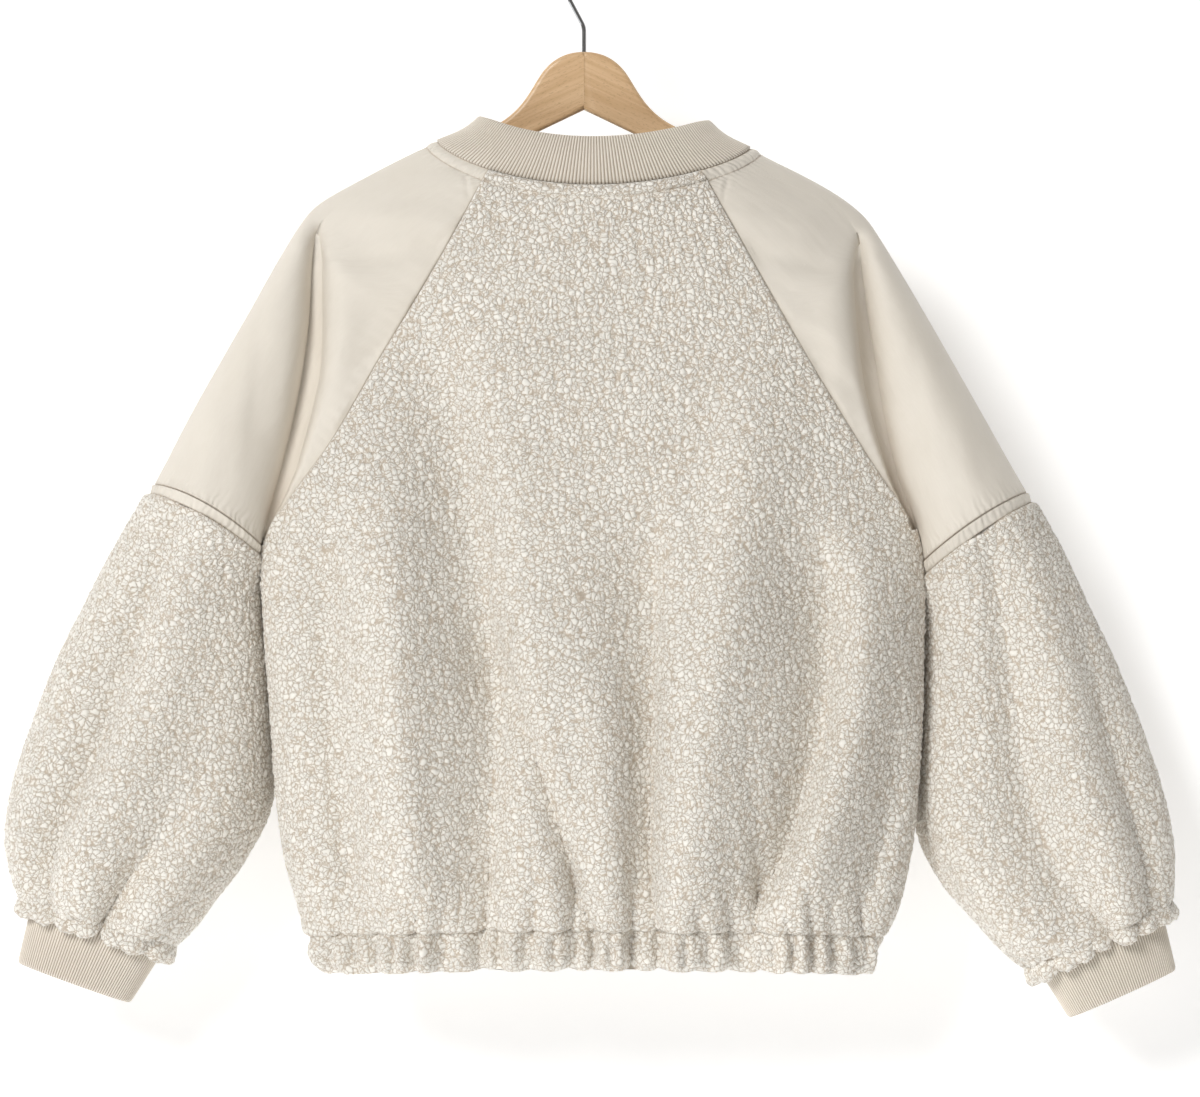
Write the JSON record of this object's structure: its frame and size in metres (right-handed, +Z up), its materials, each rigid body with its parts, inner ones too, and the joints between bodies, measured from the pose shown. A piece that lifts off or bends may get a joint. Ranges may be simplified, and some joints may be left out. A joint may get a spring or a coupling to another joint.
{
  "type": "sherpa bomber jacket on a wooden hanger",
  "caption": "Cropped curly-pile bomber jacket with raglan shell sleeves, rib collar and cuffs, gathered hem and zip front, hanging on a wooden hanger with a metal hook.",
  "frame": {"origin": "inside top of the hook's loop, where a rail carries the hanger", "axes": "+Z up, -Y out of the jacket's back, +Y out of its zip front, +X the wearer's right side"},
  "size_m": [0.9406, 0.2019, 0.8394],
  "materials": {
    "sherpa": "curly cream pile about 6 mm deep",
    "shell": "smooth matt cream woven cloth",
    "rib": "fine cream rib knit",
    "zip_tape": "matt cream woven tape with moulded teeth",
    "zip_metal": "soft satin",
    "beech": "clear satin lacquer",
    "hook_steel": "bright"
  },
  "bodies": {
    "jacket_on_hanger": {"back_panel": "sherpa", "front_panel_left": "sherpa", "front_panel_right": "sherpa", "sleeve_yoke_left": "shell", "sleeve_yoke_right": "shell", "sleeve_welt_left": "shell", "sleeve_welt_right": "shell", "sleeve_lower_left": "sherpa", "sleeve_lower_right": "sherpa", "cuff_left": "rib", "cuff_right": "rib", "hem_casing_back": "sherpa", "hem_casing_front_left": "sherpa", "hem_casing_front_right": "sherpa", "neck_band_back": "sherpa", "neck_band_left": "shell", "neck_band_right": "shell", "neck_band_front_left": "sherpa", "neck_band_front_right": "sherpa", "collar": "rib", "zip": "zip_tape", "zip_slider": "zip_metal", "hanger_arm_left": "beech", "hanger_arm_right": "beech", "hanger_hook": "hook_steel"},
    "zip_pull": {"zip_pull": "zip_metal"}
  },
  "joints": [
    {"name": "zip_pull_hinge", "type": "hinge", "parent": "jacket_on_hanger", "child": "zip_pull", "pos_m": [0.0037, 0.05408, -0.20123], "axis": [1, 0, 0], "range_deg": [0, 165]}
  ]
}
